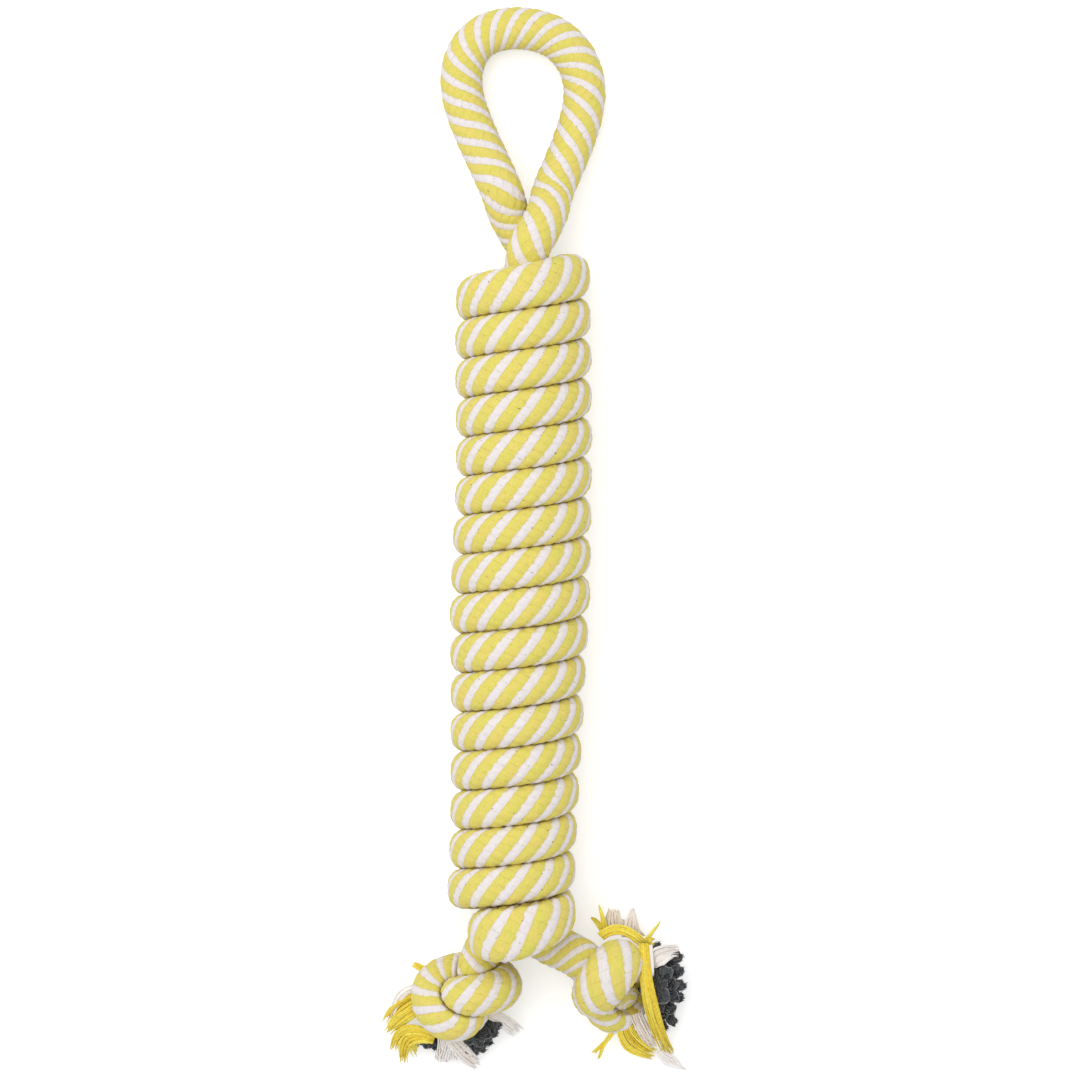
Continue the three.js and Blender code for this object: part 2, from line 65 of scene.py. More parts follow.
camera = placed("toy_camera", camera_data)
camera.location = (0.0083, 0.1244, 2.04)
camera_shift = camera.location - picture_centre
camera.rotation_euler = (-math.atan2(camera_shift.y, camera_shift.z), 0, 0)
bpy.context.scene.camera = camera
bpy.context.scene.view_settings.view_transform = "Standard"


def empty_tree(owner):
    """The shader tree of a material or of the room, emptied."""
    owner.use_nodes = True
    owner.node_tree.nodes.clear()
    return owner.node_tree


def node(tree, kind, sockets=None, **settings):
    """A shader node with its settings, and on each socket a value or another node's output."""
    made = tree.nodes.new(kind)
    for name, setting in settings.items():
        setattr(made, name, setting)
    for socket, given in (sockets or {}).items():
        if isinstance(given, bpy.types.NodeSocket):
            tree.links.new(given, made.inputs[socket])
        else:
            made.inputs[socket].default_value = given
    return made


def reckoned(tree, operation, *values, clamped=False):
    """What one sum makes of the values."""
    sockets = dict(enumerate(values))
    return node(tree, "ShaderNodeMath", sockets, operation=operation, use_clamp=clamped).outputs[0]


def rescaled(tree, value, low, high, to_low=0.0, to_high=1.0):
    """The value, with the range from low to high laid on the range from to_low to to_high."""
    sockets = {"Value": value, "From Min": low, "From Max": high, "To Min": to_low, "To Max": to_high}
    return node(tree, "ShaderNodeMapRange", sockets).outputs[0]


sheet_colour = (0.82, 0.82, 0.82, 1)
sheet_glow = 0.42
sheet_half = 3.0
sheet_drop = 0.0004
sheet_material = bpy.data.materials.new("pale_sheet")
sheet_tree = empty_tree(sheet_material)
sheet_seen = node(sheet_tree, "ShaderNodeLightPath").outputs["Is Camera Ray"]
sheet_strength = reckoned(sheet_tree, "MULTIPLY", sheet_seen, sheet_glow)
sheet_light = node(sheet_tree, "ShaderNodeEmission", {"Color": (1, 1, 1, 1), "Strength": sheet_strength})
sheet_cloth = node(sheet_tree, "ShaderNodeBsdfDiffuse", {"Color": sheet_colour})
sheet_both = node(sheet_tree, "ShaderNodeAddShader", {0: sheet_cloth.outputs[0], 1: sheet_light.outputs[0]})
node(sheet_tree, "ShaderNodeOutputMaterial", {"Surface": sheet_both.outputs[0]})
sheet_mesh = bpy.data.meshes.new("pale_sheet")
sheet_corners = [(x * sheet_half, y * sheet_half, 0) for x, y in ((-1, -1), (1, -1), (1, 1), (-1, 1))]
sheet_mesh.from_pydata(sheet_corners, [], [(0, 1, 2, 3)])
sheet_mesh.materials.append(sheet_material)
pale_sheet = placed("pale_sheet", sheet_mesh)
pale_sheet.location.z = -sheet_drop

room_brightness = 0.74
room = bpy.data.worlds.new("white_room")
bpy.context.scene.world = room
room_tree = empty_tree(room)
room_rays = node(room_tree, "ShaderNodeLightPath").outputs
room_seen = reckoned(room_tree, "MAXIMUM", room_rays["Is Camera Ray"], room_rays["Is Glossy Ray"])
room_seen = reckoned(room_tree, "MAXIMUM", room_seen, room_rays["Is Transmission Ray"])
room_strength = rescaled(room_tree, room_seen, 0.0, 1.0, room_brightness, 1.0)
room_light = node(room_tree, "ShaderNodeBackground", {"Color": (1, 1, 1, 1), "Strength": room_strength})
node(room_tree, "ShaderNodeOutputWorld", {"Surface": room_light.outputs[0]})

softbox_data = bpy.data.lights.new("softbox", "AREA")
softbox_data.shape = "DISK"
softbox_data.size = 2.2
softbox_data.energy = 26
softbox = placed("softbox", softbox_data)
softbox.location = (-0.6, 0.8, 2.1)
softbox.rotation_mode = "QUATERNION"
softbox.rotation_quaternion = (-softbox.location).to_track_quat("-Z", "Y")

# Coil rope: 17 turns of soft 16 mm cotton rope, wound close round the two legs of the handle rope.
# Its start is tucked back on the right at the handle's end, and its other end is folded down behind
# the last turn. The cover is braided in spiral bands, four yellow and four white.
rope_diameter = 0.016
turn_clearance = 0.0003
turn_count = 17
pitch = rope_diameter + turn_clearance
coil_radius_top = rope_diameter + 0.0041
coil_radius_bottom = rope_diameter + 0.0028
coil_lean = 0.0052
flat_depth = 0.1 * rope_diameter
rope_ease = 0.0001
first_turn_y = (turn_count - 1) / 2 * pitch - pitch / 4
last_turn_y = first_turn_y - (turn_count - 1) * pitch
band_lead = 0.036
band_pairs = 4
yellow_share = 0.6
bricks_round = 12
band_angle = math.atan(math.pi * rope_diameter / band_lead)
brick_length = math.pi * rope_diameter * math.sin(band_angle) / bricks_round
bricks_along = math.cos(band_angle) / brick_length
scallop = 0.007
cover_sink = 0.00045
cap_length = 0.28 * rope_diameter
# painted shade on the rope's closed ends
cap_contact_shade = 0.25
coil_weave = 11
ring_points = 72
ring_angles = 2 * math.pi * np.arange(ring_points) / ring_points
lowest_cover = 0.0002


def hump(share, middle, width):
    """A rise of 1 at the middle, that dies away over the width."""
    return math.exp(-((share - middle) / width) ** 2)


def down_coil(y):
    """How far down the coil y lies: 0 at the first turn, 1 at the last."""
    return (first_turn_y - y) / (first_turn_y - last_turn_y)


def coil_axis(y):
    """The coil's middle at y, and how far from it the rope's own middle runs, as the outline has them."""
    share = down_coil(y)
    radius = coil_radius_top + (coil_radius_bottom - coil_radius_top) * share
    radius += 0.0012 * hump(share, 0.5, 0.13) - 0.0009 * hump(share, 0.88, 0.12) - 0.0007 * hump(share, 0, 0.08)
    x = coil_lean * (0.25 - share * abs(share)) + 0.0008 * hump(share, 0.3, 0.15)
    return np.array([x, y, radius + rope_diameter / 2 - rope_ease - flat_depth]), radius


def coil_point(degrees):
    """A point of the coil's route, from 90 degrees at the right of the first turn, and less from there on."""
    turn_sag = 0.0017
    left_sag = 0.0014
    y = first_turn_y - pitch * (90 - degrees) / 360
    axis, radius = coil_axis(y)
    angle = math.radians(degrees)
    sag = turn_sag + left_sag * max(0, 1 - 2 * down_coil(y)) * (1 - math.sin(angle)) / 2
    return axis + np.array([radius * math.sin(angle), -sag, radius * math.cos(angle)])


def beside(turn_y, shares):
    """A place beside the coil's middle at that turn, in shares of the rope's diameter."""
    axis, _ = coil_axis(turn_y)
    return axis + rope_diameter * np.array(shares)


def run_along(route):
    """The distance along the route to each of its points."""
    return np.concatenate([[0], np.cumsum(np.linalg.norm(np.diff(route, axis=0), axis=1))])


def nearest(route, place):
    return int(np.argmin(np.linalg.norm(route - place, axis=1)))


def smooth_route(points, step):
    """Even points, a step apart, along the centripetal curve through the points."""
    points = np.array(points, float)
    ends = np.vstack([2 * points[0] - points[1], points, 2 * points[-1] - points[-2]])
    points_between = 24
    fine = []
    for i in range(1, len(ends) - 2):
        p0, p1, p2, p3 = ends[i - 1:i + 3]
        t1 = np.linalg.norm(p1 - p0) ** 0.5
        t2 = t1 + np.linalg.norm(p2 - p1) ** 0.5
        t3 = t2 + np.linalg.norm(p3 - p2) ** 0.5
        t = np.linspace(t1, t2, points_between, endpoint=False)[:, None]
        a1 = (t1 - t) / t1 * p0 + t / t1 * p1
        a2 = (t2 - t) / (t2 - t1) * p1 + (t - t1) / (t2 - t1) * p2
        a3 = (t3 - t) / (t3 - t2) * p2 + (t - t2) / (t3 - t2) * p3
        b1 = (t2 - t) / t2 * a1 + t / t2 * a2
        b2 = (t3 - t) / (t3 - t1) * a2 + (t - t1) / (t3 - t1) * a3
        fine.append((t2 - t) / (t2 - t1) * b1 + (t - t1) / (t2 - t1) * b2)
    fine = np.vstack(fine + [points[-1:]])
    along = run_along(fine)
    at = np.linspace(0, along[-1], max(2, int(round(along[-1] / step)) + 1))
    return np.stack([np.interp(at, along, fine[:, k]) for k in range(3)], axis=1)


def route_tangents(route):
    tangents = np.gradient(route, axis=0)
    return tangents / np.linalg.norm(tangents, axis=1)[:, None]


def smoothed(share):
    """A share from 0 to 1 that starts and ends gently."""
    return share * share * (3 - 2 * share)


noise_primes = np.array([73856093, 19349663, 83492791])


def soft_noise(points, size, seed):
    """Smooth random values from -1 to 1 at points in space, with lumps of about that size."""
    place = np.asarray(points, float) / size
    cell = np.floor(place).astype(np.int64)
    part = smoothed(place - cell)
    total = np.zeros(len(place))
    # each corner of a cell has a fixed value, mixed from its place and the seed
    for corner in range(8):
        step = np.array([corner & 1, corner >> 1 & 1, corner >> 2 & 1])
        mixed = np.bitwise_xor.reduce((cell + step) * noise_primes, axis=1) ^ (seed * 2654435761)
        mixed = (mixed ^ (mixed >> 13)) * 1274126177 & 0x7FFFFFFF
        value = (mixed % 100003) / 50001.5 - 1
        total += np.prod(np.where(step == 1, part, 1 - part), axis=1) * value
    return total


def band_relief(bands, bricks, points, seed):
    """Height of the braided cover above its deepest crease, in metres."""
    pillow_height = 0.00042
    crown_height = 0.00016
    crease_depth = 0.00013
    lump_height = 0.00012
    fuzz_height = 0.00010
    band_wander = 0.03
    brick_wander = 0.10
    crease_width = 0.14
    bands = bands + band_wander * soft_noise(points, 0.005, seed + 1) + scallop * np.sin(2 * math.pi * bricks)
    share = bands - np.floor(bands)
    white = share >= yellow_share
    across = np.where(white, (share - yellow_share) / (1 - yellow_share), share / yellow_share)
    pillow = 1 - np.abs(2 * across - 1) ** 2.6
    row = np.floor(bands) * 2 + white
    # the bricks of a band start at another place than those of the next, and no two stand up alike
    shift = 0.5 * white + 0.35 * np.sin(row * 12.9898)
    place = bricks + shift + brick_wander * soft_noise(points, 0.004, seed + 2)
    brick = place - np.floor(place)
    crease = np.exp(-(np.minimum(brick, 1 - brick) / crease_width) ** 2)
    lump = np.sin(np.floor(place) * 78.233 + row * 37.719) * 43758.5453
    lump = lump - np.floor(lump) - 0.5
    crown = 1 - (2 * brick - 1) ** 2
    height = pillow * (pillow_height + crown_height * crown - crease_depth * crease + lump_height * lump)
    return height + fuzz_height * soft_noise(points, 0.0021, seed + 3)


def smooth_object(name, points, faces, map_name, map_points):
    """An object of points and faces, shaded smooth, with a place on its map for each face's corners."""
    mesh = bpy.data.meshes.new(name)
    mesh.from_pydata(np.asarray(points).tolist(), [], faces)
    layer = mesh.uv_layers.new(name=map_name)
    layer.data.foreach_set("uv", np.asarray(map_points, float).ravel())
    mesh.polygons.foreach_set("use_smooth", [True] * len(mesh.polygons))
    mesh.update()
    return placed(name, mesh)


def outward_ways(normals, sides):
    """The ways out from the rope's middle to the points of each ring."""
    cosines, sines = np.cos(ring_angles)[:, None], np.sin(ring_angles)[:, None]
    return cosines * normals[:, None, :] + sines * sides[:, None, :]


def rope_piece(name, route, outward, radii, along, turned, seed, painted_contact_shade, press, caps):
    """A braided rope along a route: rings of points with the cover's relief, and its bands in the map."""
    turns = np.arange(ring_points + 1) / ring_points
    bands = band_pairs * (turns + turned[:, None])
    bricks = bricks_round * turns - bricks_along * along[:, None]
    rest = (route[:, None, :] + rope_diameter / 2 * outward).reshape(-1, 3)
    relief = band_relief(bands[:, :-1].ravel(), bricks[:, :-1].ravel(), rest, seed).reshape(len(route), -1)
    offset = press(outward * (radii - cover_sink + relief)[:, :, None])
    verts = (route[:, None, :] + offset).reshape(-1, 3)
    ring = np.arange(len(route) - 1)[:, None] * ring_points
    k = np.arange(ring_points)
    after = (k + 1) % ring_points
    quads = np.stack([ring + k, ring + after, ring + ring_points + after, ring + ring_points + k], axis=-1)
    corners = [
        np.stack([value[:-1, :-1], value[:-1, 1:], value[1:, 1:], value[1:, :-1]], axis=-1).reshape(-1)
        for value in (bands, bricks)
    ]
    cap_verts, cap_faces, cap_map = [], [], []

    def cap_place(row, way, side, share):
        """Where on the cover a point of a closed end lies: its band and its brick."""
        return (
            band_pairs * (side / ring_points + turned[row] + way * share * 0.15),
            bricks_round * side / ring_points - along[row] * bricks_along - way * share * 2,
        )

    for row, way, closed in ((0, -1, caps[0]), (len(route) - 1, 1, caps[1])):
        if not closed:
            continue
        centre = route[row]
        lead = centre - route[row - way]
        lead = lead / np.linalg.norm(lead)
        inner = row * ring_points
        rim = verts[inner:inner + ring_points]
        for share in (0.35, 0.65, 0.88, 1.0):
            at_tip = share == 1
            start = len(verts) + len(cap_verts)
            shrunk = centre + (rim - centre) * math.sqrt(1 - share * share) + lead * share * cap_length
            cap_verts.extend(shrunk[:1] if at_tip else shrunk)
            for j in range(ring_points):
                n = (j + 1) % ring_points
                face = [inner + j, inner + n] + ([start] if at_tip else [start + n, start + j])
                places = [(j, 0), (j + 1, 0), (j + 1, share), (j, share)]
                if at_tip:
                    places = [(j, 1), (j + 1, 1), (j, 1)]
                cap_faces.append(face[::way])
                cap_map.extend(cap_place(row, way, *at) for at in places[::way])
            inner = start
    piece = smooth_object(
        name, np.vstack([verts, np.array(cap_verts).reshape(-1, 3)]),
        quads.reshape(-1, 4).tolist() + cap_faces, "bands",
        np.vstack([np.stack(corners, axis=1), np.array(cap_map, float).reshape(-1, 2)]),
    )
    # each point's share of painted contact shade, kept for the cover's shader
    contact_shade_layer = piece.data.attributes.new("painted_contact_shade", "FLOAT", "POINT")
    contact_shades = np.concatenate([painted_contact_shade.ravel(), np.full(len(cap_verts), cap_contact_shade)])
    contact_shade_layer.data.foreach_set("value", contact_shades.astype(np.float32))
    return piece


def clouded(tree, place, scale, detail, roughness=0.5):
    """Soft random patches, from 0 to 1."""
    sockets = {"Vector": place, "Scale": scale, "Detail": detail, "Roughness": roughness}
    return node(tree, "ShaderNodeTexNoise", sockets).outputs["Fac"]


def stretched(tree, place, scales):
    return node(tree, "ShaderNodeVectorMath", {0: place, 1: scales}, operation="MULTIPLY").outputs[0]


def stepped(tree, value, stops):
    """Levels along the value: each stop is a place from 0 to 1 and the level there."""
    made = node(tree, "ShaderNodeValToRGB", {"Fac": value})
    elements = made.color_ramp.elements
    # the node comes with two stops of its own
    for i, (place, level) in enumerate(stops):
        stop = elements[i] if i < 2 else elements.new(place)
        stop.position = place
        stop.color = (level, level, level, 1)
    return made.outputs["Color"]


def dyed(tree, factor, first, second, way="MIX"):
    """Two colours mixed, or the first darkened by the second."""
    sockets = {"Factor": factor, "A": first, "B": second}
    return node(tree, "ShaderNodeMix", sockets, data_type="RGBA", blend_type=way).outputs["Result"]


def cotton_surface(tree, colour, rough, fuzz, fuzz_rough, threads, bump, bump_distance):
    """Dull cotton of that colour, with fuzz, and with threads that stand up from it."""
    raised = node(tree, "ShaderNodeBump", {"Strength": bump, "Distance": bump_distance, "Height": threads})
    cotton = node(tree, "ShaderNodeBsdfPrincipled", {
        "Base Color": colour, "Roughness": rough, "Specular IOR Level": 0.12,
        "Sheen Weight": fuzz, "Sheen Roughness": fuzz_rough, "Normal": raised.outputs[0],
    })
    node(tree, "ShaderNodeOutputMaterial", {"Surface": cotton.outputs[0]})


cover_material = bpy.data.materials.new("braided_cotton_cover")
cover = empty_tree(cover_material)
cover_map = node(cover, "ShaderNodeUVMap", uv_map="bands").outputs[0]
cover_split = node(cover, "ShaderNodeSeparateXYZ", {0: cover_map}).outputs
# surface coordinates in millimetres, across and along the bands
cover_place = stretched(cover, cover_map, (7.3, 3.4, 1.0))
wobble = clouded(cover, cover_place, 0.6, 2.0)
band_place = reckoned(cover, "ADD", cover_split["X"], reckoned(cover, "MULTIPLY_ADD", wobble, 0.14, -0.07))
scallop_wave = reckoned(cover, "SINE", reckoned(cover, "MULTIPLY", cover_split["Y"], 2 * math.pi))
band_share = reckoned(cover, "FRACT", reckoned(cover, "MULTIPLY_ADD", scallop_wave, scallop, band_place))
in_white = stepped(cover, band_share, (
    (0.0, 1), (0.022, 0), (yellow_share - 0.022, 0), (yellow_share + 0.006, 1),
))
# where two bands meet, the cover dips
band_edge = stepped(cover, band_share, (
    (0.0, 1), (0.07, 0), (yellow_share - 0.07, 0), (yellow_share, 1), (yellow_share + 0.06, 0),
    (0.94, 0), (1.0, 1),
))
# creases across a band
brick_place = reckoned(cover, "MULTIPLY_ADD", in_white, 0.5, cover_split["Y"])
brick_share = reckoned(cover, "FRACT", reckoned(cover, "MULTIPLY_ADD", wobble, 0.5, brick_place))
brick_edge = stepped(cover, brick_share, ((0.0, 1), (0.09, 0), (0.91, 0), (1.0, 1)))
# colours of the yarns
patch = clouded(cover, cover_place, 0.16, 3.0)
golden = rescaled(cover, patch, 0.32, 0.68)
yellow_cotton = dyed(cover, golden, (0.735, 0.67, 0.135, 1), (0.80, 0.655, 0.165, 1))
white_cotton = dyed(cover, patch, (0.85, 0.785, 0.745, 1), (0.81, 0.765, 0.80, 1))
cover_colour = dyed(cover, in_white, yellow_cotton, white_cotton)
# threads run along each band
threads = clouded(cover, stretched(cover, cover_place, (3.2, 0.42, 1.0)), 1.0, 4.0, 0.6)
cover_colour = dyed(cover, 1.0, cover_colour, rescaled(cover, threads, 0.3, 0.7, 0.88, 1.06), "MULTIPLY")
# painted shade darkens the creases and band edges, and dark specks of the filler show through there
crease = reckoned(cover, "MAXIMUM", band_edge, brick_edge)
painted_crease_shade = reckoned(cover, "MULTIPLY", crease, rescaled(cover, wobble, 0.35, 0.7, 0.08, 0.55))
cover_colour = dyed(cover, painted_crease_shade, cover_colour, (0.70, 0.60, 0.30, 1), "MULTIPLY")
speck = rescaled(cover, clouded(cover, cover_place, 0.9, 1.0), 0.69, 0.74)
cover_colour = dyed(cover, reckoned(cover, "MULTIPLY", speck, crease), cover_colour, (0.07, 0.075, 0.07, 1))
# painted shade where turns or strands press together: a patchy dark golden shade multiplied into the cover's
# colour
painted_contact_mask = node(cover, "ShaderNodeAttribute", attribute_name="painted_contact_shade").outputs["Fac"]
contact_shade_patch = rescaled(cover, wobble, 0.35, 0.65, 0.55, 1.15)
contact_shade_share = reckoned(cover, "MULTIPLY", painted_contact_mask, contact_shade_patch, clamped=True)
cover_colour = dyed(cover, contact_shade_share, cover_colour, (0.44, 0.34, 0.06, 1), "MULTIPLY")
cotton_surface(cover, cover_colour, 0.92, 0.10, 0.6, threads, 0.6, 0.00022)

steps_round = 24
start_direction = np.array([-0.06, 0.13, -0.99])
coil_points = [coil_point(90) + start_direction * share * rope_diameter for share in (1, 0.66, 0.33)]
coil_points += [coil_point(90 - 360 / steps_round * step) for step in range((turn_count - 1) * steps_round + 1)]
end_tuck = [
    (1.13, -0.24, 0.62),
    (0.78, -0.39, 1.16),
    (0.3, -0.53, 1.32),
    (-0.16, -0.62, 1.26),
    (-0.48, -0.67, 0.98),
    (-0.6, -0.72, 0.62),
    (-0.6, -0.75, 0.3),
]
coil_points += [beside(last_turn_y, shares) for shares in end_tuck]
coil_route = smooth_route(coil_points, 0.00062)
coil_along = run_along(coil_route)
# each ring's normal points in, to the coil's middle
coil_tangents = route_tangents(coil_route)
coil_normals = np.zeros_like(coil_route)
for i, place in enumerate(coil_route):
    axis, _ = coil_axis(min(max(place[1], last_turn_y), first_turn_y))
    inward = axis - place
    inward[1] = 0
    inward -= coil_tangents[i] * inward.dot(coil_tangents[i])
    coil_normals[i] = inward / np.linalg.norm(inward)
coil_sides = np.cross(coil_tangents, coil_normals)

# The last turn gets wider and flatter where it folds over the coil's end.
last_lobe = coil_along - coil_along[nearest(coil_route, coil_point(90 - 360 * (turn_count - 1)))]
lobe_stops = (0, 0.008, 0.022, 0.032, 0.042, 0.052, 0.058)
lower_width = np.interp(last_lobe, lobe_stops, (1, 1.05, 1.24, 1.38, 1.36, 1.2, 1.0))
upper_width = np.interp(last_lobe, lobe_stops, (1, 1.05, 1.25, 1.36, 1.38, 1.2, 1.0))
upper_width *= np.interp(coil_along, (0, 0.012, 0.018, 0.032, 0.06, 0.126), (0.85, 0.95, 1.25, 1.3, 1.22, 1.02))
lobe_depth = np.interp(last_lobe, lobe_stops, (1, 1, 0.9, 0.8, 0.85, 0.95, 1))

# The turns press on each other: their section is a rounded square, squarer on the inner side.
turn_reach = 0.0082
touch_from = 0.83
rise, spread = np.abs(np.cos(ring_angles)), np.abs(np.sin(ring_angles))
fullness = np.interp(np.cos(ring_angles), (-0.4, 0.4), (2.6, 3.2))
coil_reach = turn_reach / (rise ** fullness + spread ** fullness) ** (1 / fullness)
# painted shade on the sides where one turn presses on the next, none on the outer sides of the first and last
# turns
touching = smoothed(np.clip((spread - touch_from) / (1 - touch_from), 0, 1))
turn_above = np.clip((coil_along - 0.118) / 0.02, 0, 1)[:, None]
turn_below = np.clip((-0.05 - last_lobe) / 0.02, 0, 1)[:, None]
coil_contact_shade = touching * np.where(np.sin(ring_angles) > 0, turn_below, turn_above)


def part_along(offset, ways):
    """How far each point of a ring goes from the rope's middle along the ring's own way."""
    return np.einsum("ijk,ik->ij", offset, ways)


def on_sheet(offset, route):
    """The points, with none of them below the sheet that the toy lies on."""
    offset[:, :, 2] = np.maximum(offset[:, :, 2], lowest_cover - route[:, None, 2])
    return offset


def press_coil(offset):
    """The coil's section, wide and flat at the last lobe and round at the rest."""
    deep = (lobe_depth - 1)[:, None] * part_along(offset, coil_normals)
    across = part_along(offset, coil_sides)
    wide = (np.where(across > 0, lower_width[:, None], upper_width[:, None]) - 1) * across
    offset = offset + deep[:, :, None] * coil_normals[:, None, :] + wide[:, :, None] * coil_sides[:, None, :]
    return on_sheet(offset, coil_route)


coil_rope = rope_piece(
    "coil_rope", coil_route, outward_ways(coil_normals, coil_sides), coil_reach, coil_along,
    coil_along / band_lead, coil_weave, coil_contact_shade, press_coil, caps=(True, True),
)
coil_rope.data.materials.append(cover_material)
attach(coil_rope, "coil")
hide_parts("coil_winding")

# Handle rope: one 16 mm rope, folded in half. Its bend is the handle loop, both legs run side by
# side through the coil, and past it each leg is a tail with an overhand knot and a frayed end. It
# is made here in seven lengths, joined where the real rope is unbroken, so that each bends once.
mouth_front = beside(first_turn_y, (0.15, 0.68, 0.53))
mouth_rear = beside(first_turn_y, (0.15, 0.68, -0.53))
left_tail_pivot = beside(last_turn_y, (-0.42, -0.68, -0.45))
left_knot_pivot = beside(last_turn_y, (-0.76, -1.45, -0.66))
right_tail_pivot = beside(last_turn_y, (0.72, -0.92, -0.46))
right_knot_pivot = beside(last_turn_y, (1.86, -1.5, -0.4))
right_exit = beside(last_turn_y, (0.33, -0.3, -0.14))
seat_gap = 0.0003
rope_radius = rope_diameter / 2 - rope_ease
bore_steps = 30
leg_widening = 1.35
handle_weave = 21


def bore_leg(side):
    """Centres of one leg in the bore, from the mouth down, and its section: depth and width."""
    places = []
    sections = []
    top_y = first_turn_y - 0.2 * rope_diameter
    bottom_y = last_turn_y + 0.1 * rope_diameter
    for share in np.linspace(0, 1, bore_steps + 1):
        y = top_y + (bottom_y - top_y) * share
        axis, radius = coil_axis(y)
        turn = math.pi / 2 * share
        half = (radius - rope_radius - 1.5 * seat_gap) / 2
        stack = side * np.array([math.sin(turn), 0, math.cos(turn)])
        places.append(axis + stack * (half + seat_gap / 2))
        sections.append((stack, half, leg_widening * half))
    return places, sections


neck_length = 0.022
neck_height = 0.020
leg_spacing = 0.020
loop_length = 0.070
loop_width = 0.051
loop_lean = 0.0044
crown_drop = 0.018
neck_x = mouth_front[0] - 0.04 * rope_diameter
neck_y = mouth_front[1] + neck_length
neck_steps = 6


def neck_leg(side):
    """Centres of one leg from the coil's mouth to the loop: a quarter turn round the other leg."""
    low = (mouth_front + mouth_rear) / 2
    low_half = (mouth_front[2] - mouth_rear[2]) / 2
    places = []
    for share in np.linspace(0, 1, neck_steps + 1):
        roll = math.pi / 2 * share
        half = side * (low_half + (leg_spacing / 2 - low_half) * share)
        centre = low + (np.array([neck_x, neck_y, neck_height]) - low) * share
        places.append(centre + half * np.array([math.sin(roll), 0, math.cos(roll)]))
    return places


def loop_point(side, height_share, half):
    """A centre of the loop, that share of its length up, and half a width to the side."""
    droop = (1 - height_share) ** 2
    rest = rope_diameter / 2 + rope_ease
    return np.array([
        neck_x - loop_lean * height_share ** 2 + side * half,
        neck_y + loop_length * height_share * (1 - crown_drop * height_share),
        rest + (neck_height - rest) * droop,
    ])


loop_side = ((0.17, 0.34), (0.36, 0.7), (0.52, 0.93), (0.65, 1))
loop_crown = ((0.77, 0.95), (0.87, 0.81), (0.945, 0.6), (0.985, 0.33))


def loop_leg(side):
    """Centres of one side of the loop, from the neck to the crown."""
    up = [
        loop_point(side, height, (leg_spacing + (loop_width - leg_spacing) * flare) / 2)
        for height, flare in loop_side
    ]
    over = [loop_point(side, height, width * loop_width / 2) for height, width in loop_crown]
    return up + over


left_knot_centre = beside(last_turn_y, (-1.22, -2.62, -0.45)) + (0.0017, 0.0035, 0.0005)
right_knot_centre = beside(last_turn_y, (2.42, -2.1, -0.54)) + (0.0025, 0, 0.0005)
# the knots' routes, from the tail to the frayed end, in rope diameters from each knot's middle
left_knot_strand = [
    (0.21, 0.58, -0.06),
    (0.29, 0.14, -0.12),
    (0.13, -0.23, 0.04),
    (-0.07, -0.56, 0.26),
    (-0.41, -0.72, 0.38),
    (-0.75, -0.47, 0.29),
    (-0.95, -0.17, 0.04),
    (-0.91, 0.17, -0.24),
    (-0.67, 0.36, -0.46),
    (-0.28, 0.45, -0.59),
    (0.13, 0.48, -0.68),
    (0.55, 0.45, -0.62),
    (0.84, 0.28, -0.28),
    (0.88, 0.18, 0.18),
    (0.62, 0.10, 0.55),
    (0.26, 0.05, 0.68),
    (-0.13, 0.01, 0.54),
    (-0.31, -0.10, 0.14),
    (-0.33, -0.39, -0.33),
    (-0.44, -0.52, -0.41),
]
left_knot_points = [left_knot_centre + rope_diameter * np.array(shares) for shares in left_knot_strand]
right_knot_strand = [
    (-0.35, 0.18, 0.20),
    (-0.25, -0.24, -0.03),
    (-0.16, -0.68, -0.28),
    (0.10, -0.92, -0.47),
    (0.42, -0.80, -0.50),
    (0.48, -0.20, -0.31),
    (0.36, 0.34, 0.06),
    (0.24, 0.60, 0.50),
    (0.10, 0.48, 0.74),
    (-0.10, 0.26, 0.84),
    (-0.24, 0.04, 0.78),
    (-0.35, -0.15, 0.61),
    (-0.39, -0.36, 0.19),
    (-0.37, -0.30, -0.25),
    (-0.35, -0.11, -0.56),
    (-0.20, 0.10, -0.65),
    (0.04, 0.25, -0.50),
    (0.16, 0.0, -0.28),
    (0.30, -0.20, -0.08),
    (0.50, -0.34, 0.08),
]
right_knot_points = [right_knot_centre + rope_diameter * np.array(shares) for shares in right_knot_strand]
rear_leg, rear_sections = bore_leg(-1)
front_leg, front_sections = bore_leg(1)
handle_points = (
    left_knot_points[::-1]
    + [left_knot_pivot, left_tail_pivot]
    + rear_leg[::-1]
    + neck_leg(-1)
    + loop_leg(-1)
    + [loop_point(0, 1, 0)]
    + loop_leg(1)[::-1]
    + neck_leg(1)[::-1]
    + front_leg
    + [right_exit, right_tail_pivot, right_knot_pivot]
    + right_knot_points
)


def carried_frame(route, start_normal):
    """Tangents, normals and sides along a route, the normal carried along without twist."""
    tangents = route_tangents(route)
    normals = np.zeros_like(route)
    normal = np.array(start_normal, float)
    for i, tangent in enumerate(tangents):
        normal = normal - tangent * normal.dot(tangent)
        normal = normal / np.linalg.norm(normal)
        normals[i] = normal
    return tangents, normals, np.cross(tangents, normals)


def eased(route, width, step):
    """The route with its sharp turns rounded over that length, and its ends where they were."""
    reach = int(round(3 * width / step))
    weights = np.exp(-0.5 * (np.arange(-reach, reach + 1) * step / width) ** 2)
    weights /= weights.sum()
    longer = np.vstack([2 * route[0] - route[reach:0:-1], route, 2 * route[-1] - route[-2:-reach - 2:-1]])
    soft = np.stack([np.convolve(longer[:, k], weights, "valid") for k in range(3)], axis=1)
    apart = 0.002
    return smooth_route(soft[::max(1, int(round(apart / step)))], step)


handle_step = 0.00064
handle_route = eased(smooth_route(handle_points, handle_step), 0.0032, handle_step)
handle_along = run_along(handle_route)
handle_tangents, handle_normals, handle_sides = carried_frame(handle_route, (0, 0, 1))
handle_outward = outward_ways(handle_normals, handle_sides)


def nearest_ring(place, first=0, last=None):
    return first + nearest(handle_route[first:last], place)


crown_ring = nearest_ring(loop_point(0, 1, 0))
